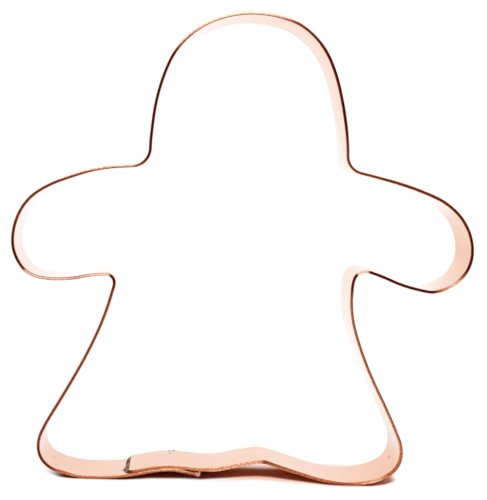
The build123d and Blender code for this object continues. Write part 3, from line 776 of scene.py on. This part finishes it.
def tableMaterial():
    # matt white paper; clear of the hem, what the eye and the metal see of it is plain white
    material, tree = newMaterial("whitePaper")
    shaded, litShare, glow = (addNode(tree, "Attribute", attribute_name=name).outputs["Fac"]
                              for name in ("shaded", "lit", "glow"))
    rays = addNode(tree, "LightPath")
    cameraRay = rays.outputs["Is Camera Ray"]
    place = addNode(tree, "TexCoord").outputs["Object"]
    parts = addNode(tree, "SeparateXYZ", {"Vector": place})
    start, full = studio["sweepFront"]
    sweep = addNode(tree, "MapRange", {
        "Value": parts.outputs["Y"], "From Min": start * mm, "From Max": full * mm}, **eased)
    plainWhite = addNode(tree, "Math", {0: cameraRay, 1: sweep}, operation="MAXIMUM")
    sweepTone = addNode(tree, "MixRGB", {
        "Fac": plainWhite, "Color1": studio["frontDark"], "Color2": studio["white"]})
    seen = addNode(tree, "Math", {0: cameraRay, 1: rays.outputs["Is Glossy Ray"]}, operation="MAXIMUM")
    seenThrough = addNode(tree, "Math", {0: seen, 1: rays.outputs["Is Transmission Ray"]}, operation="MAXIMUM")
    clear = addNode(tree, "Math", {0: 1.0, 1: shaded}, operation="SUBTRACT")
    share = addNode(tree, "Math", {0: seenThrough, 1: clear}, operation="MULTIPLY")
    # copper close above the paper throws a warm dark shade on it
    openSky = addNode(tree, "AmbientOcclusion", {
        "Distance": studio["shadeReach"] * mm}, samples=studio["shadeSamples"]).outputs["AO"]
    shade = addNode(tree, "MapRange", {
        "Value": openSky, "From Min": studio["shadeOpen"], "From Max": studio["shadeFull"]}, **eased)
    shadeTone = addNode(tree, "MixRGB", {
        "Fac": litShare, "Color1": studio["shade"], "Color2": studio["litShade"]})
    tone = addNode(tree, "MixRGB", {"Fac": shade, "Color1": studio["table"], "Color2": shadeTone})
    paper = addNode(tree, "BsdfDiffuse", {"Color": tone, "Roughness": studio["tableRoughness"]})
    warmTone = addNode(tree, "MixRGB", {"Fac": glow, "Color1": sweepTone, "Color2": studio["glow"]})
    plain = addNode(tree, "Emission", {"Color": warmTone})
    both = addNode(tree, "MixShader", {0: share, 1: paper, 2: plain})
    addNode(tree, "OutputMaterial", {"Surface": both})
    return material


def smoothStep(value, start, full):
    # 0 up to the start and 1 from the full place on, eased at both
    share = np.clip((value - start) / (full - start), 0, 1)
    return share ** 2 * (3 - 2 * share)


def shadedGround(x, y):
    # the shares of shade, warm glow and lit shade on the table; the shade is a blurred front line with a faint
    # skirt before it, times the other three sides
    line, blur, skirt = readTable(studio["shadeFront"], x)
    behind = y - line
    front = np.maximum(smoothStep(behind, -blur, blur), skirt * smoothStep(behind, -studio["skirtReach"], 0))
    sides = smoothStep(x, *studio["shadeLeft"]) * smoothStep(x, *studio["shadeRight"])
    whole = front * sides * smoothStep(y, *studio["shadeBack"])
    # to the right the copper lights the rim of the shade, so the dark starts later and a glow comes first
    lit = smoothStep(x, *studio["glowRight"])
    late = np.clip((whole - studio["glowShare"]) / (1 - studio["glowShare"]), 0, 1)
    glow = smoothStep(whole, 0, studio["glowShare"]) * smoothStep(y, *studio["glowBack"]) * lit
    return {"shaded": whole + (late - whole) * lit, "glow": glow, "lit": lit + 0 * y}


def buildTable():
    # wide paper whose grid is close over the ground near the hem
    reach = studio["tableReach"]
    x, y = (np.concatenate([[-reach], np.arange(*studio[near], studio["nearStep"]), [reach]])
            for near in ("nearX", "nearY"))
    x, y = x[None, :], y[:, None]
    grid = np.stack(np.broadcast_arrays(x, y, np.zeros((y.size, x.size))), -1)
    mesh = gridMesh("paperTable", grid, attributes=shadedGround(x, y))
    mesh.materials.append(tableMaterial())
    table = addObject("paperTable", mesh)


def buildRoom():
    # a white wall behind, pale ones beside, a lit ceiling, and the warm dark of the room behind the camera;
    # each starts along one part of the direction, and where two meet the lighter holds
    world = bpy.data.worlds.new("whiteStudio")
    bpy.context.scene.world = world
    world.use_nodes = True
    tree = world.node_tree
    tree.nodes.clear()
    direction = addNode(tree, "TexCoord").outputs["Generated"]
    parts = addNode(tree, "SeparateXYZ", {"Vector": direction})
    roomTone = studio["frontDark"]
    for axis, start, full, tone, blend in studio["walls"]:
        step = addNode(tree, "MapRange", {
            "Value": parts.outputs[axis], "From Min": start, "From Max": full}, **eased)
        roomTone = addNode(tree, "MixRGB", {"Fac": step, "Color1": roomTone, "Color2": tone}, blend_type=blend)
    towards = addNode(tree, "VectorMath", {
        0: direction, 1: studio["boxPlace"]}, operation="DOT_PRODUCT").outputs["Value"]
    start, full = studio["boxEdge"]
    box = addNode(tree, "MapRange", {
        "Value": towards, "From Min": start, "From Max": full, "To Max": studio["boxBright"]}, **eased)
    roomTone = addNode(tree, "MixRGB", {"Fac": 1.0, "Color1": roomTone, "Color2": box}, blend_type="ADD")
    cameraRay = addNode(tree, "LightPath").outputs["Is Camera Ray"]
    seenTone = addNode(tree, "MixRGB", {"Fac": cameraRay, "Color1": roomTone, "Color2": studio["white"]})
    background = addNode(tree, "Background", {"Color": seenTone})
    addNode(tree, "OutputWorld", {"Surface": background})


def standAt(name, data, place, right, up, back):
    # puts a lamp or camera at a place, its own three axes along the directions given
    made = addObject(name, data)
    turn = Matrix(np.stack([right, up, back], -1).tolist()).to_4x4()
    made.matrix_world = Matrix.Translation([value * mm for value in place]) @ turn
    return made


ceilingLamp = {"place": (-150.0, 150.0, 900.0), "size": (700.0, 500.0), "power": 1.2}


def addLamp():
    # a soft area lamp above, aimed at the foot of the cutter
    light = bpy.data.lights.new("ceilingLamp", "AREA")
    light.shape = "RECTANGLE"
    light.size, light.size_y = (side * mm for side in ceilingLamp["size"])
    light.energy = ceilingLamp["power"]
    back = np.array(ceilingLamp["place"]) / np.linalg.norm(ceilingLamp["place"])
    right = np.cross([0, 1, 0.01], back)
    right /= np.linalg.norm(right)
    standAt("ceilingLamp", light, ceilingLamp["place"], right, np.cross(back, right), back)


lens = {
    "place": (-16.57, -402.41, 69.17),
    "turn": (2.4185, 2.2742, 1.989),  # degrees of yaw, pitch and roll
    "focalPixels": 1712.97, "imageWidth": 487, "sensor": 36.0,
    "clip": (0.01, 20),  # metres
}


def addCamera():
    # yaw turns the view to the right, pitch tips it down, roll leans its top to the left
    yaw, pitch, roll = np.radians(lens["turn"])
    ahead = np.array([np.sin(yaw) * np.cos(pitch), np.cos(yaw) * np.cos(pitch), -np.sin(pitch)])
    level = np.array([np.cos(yaw), -np.sin(yaw), 0])
    top = np.cross(level, ahead)
    data = bpy.data.cameras.new("photographView")
    data.sensor_fit = "HORIZONTAL"
    data.sensor_width = lens["sensor"]
    data.lens = lens["focalPixels"] / lens["imageWidth"] * lens["sensor"]
    data.clip_start, data.clip_end = lens["clip"]
    right, up = level * np.cos(roll) + top * np.sin(roll), top * np.cos(roll) - level * np.sin(roll)
    bpy.context.scene.camera = standAt("photographView", data, lens["place"], right, up, -ahead)


buildTable()
buildRoom()
addLamp()
addCamera()
bpy.context.scene.view_settings.view_transform = "Standard"
print("table, room, lamp and camera done")
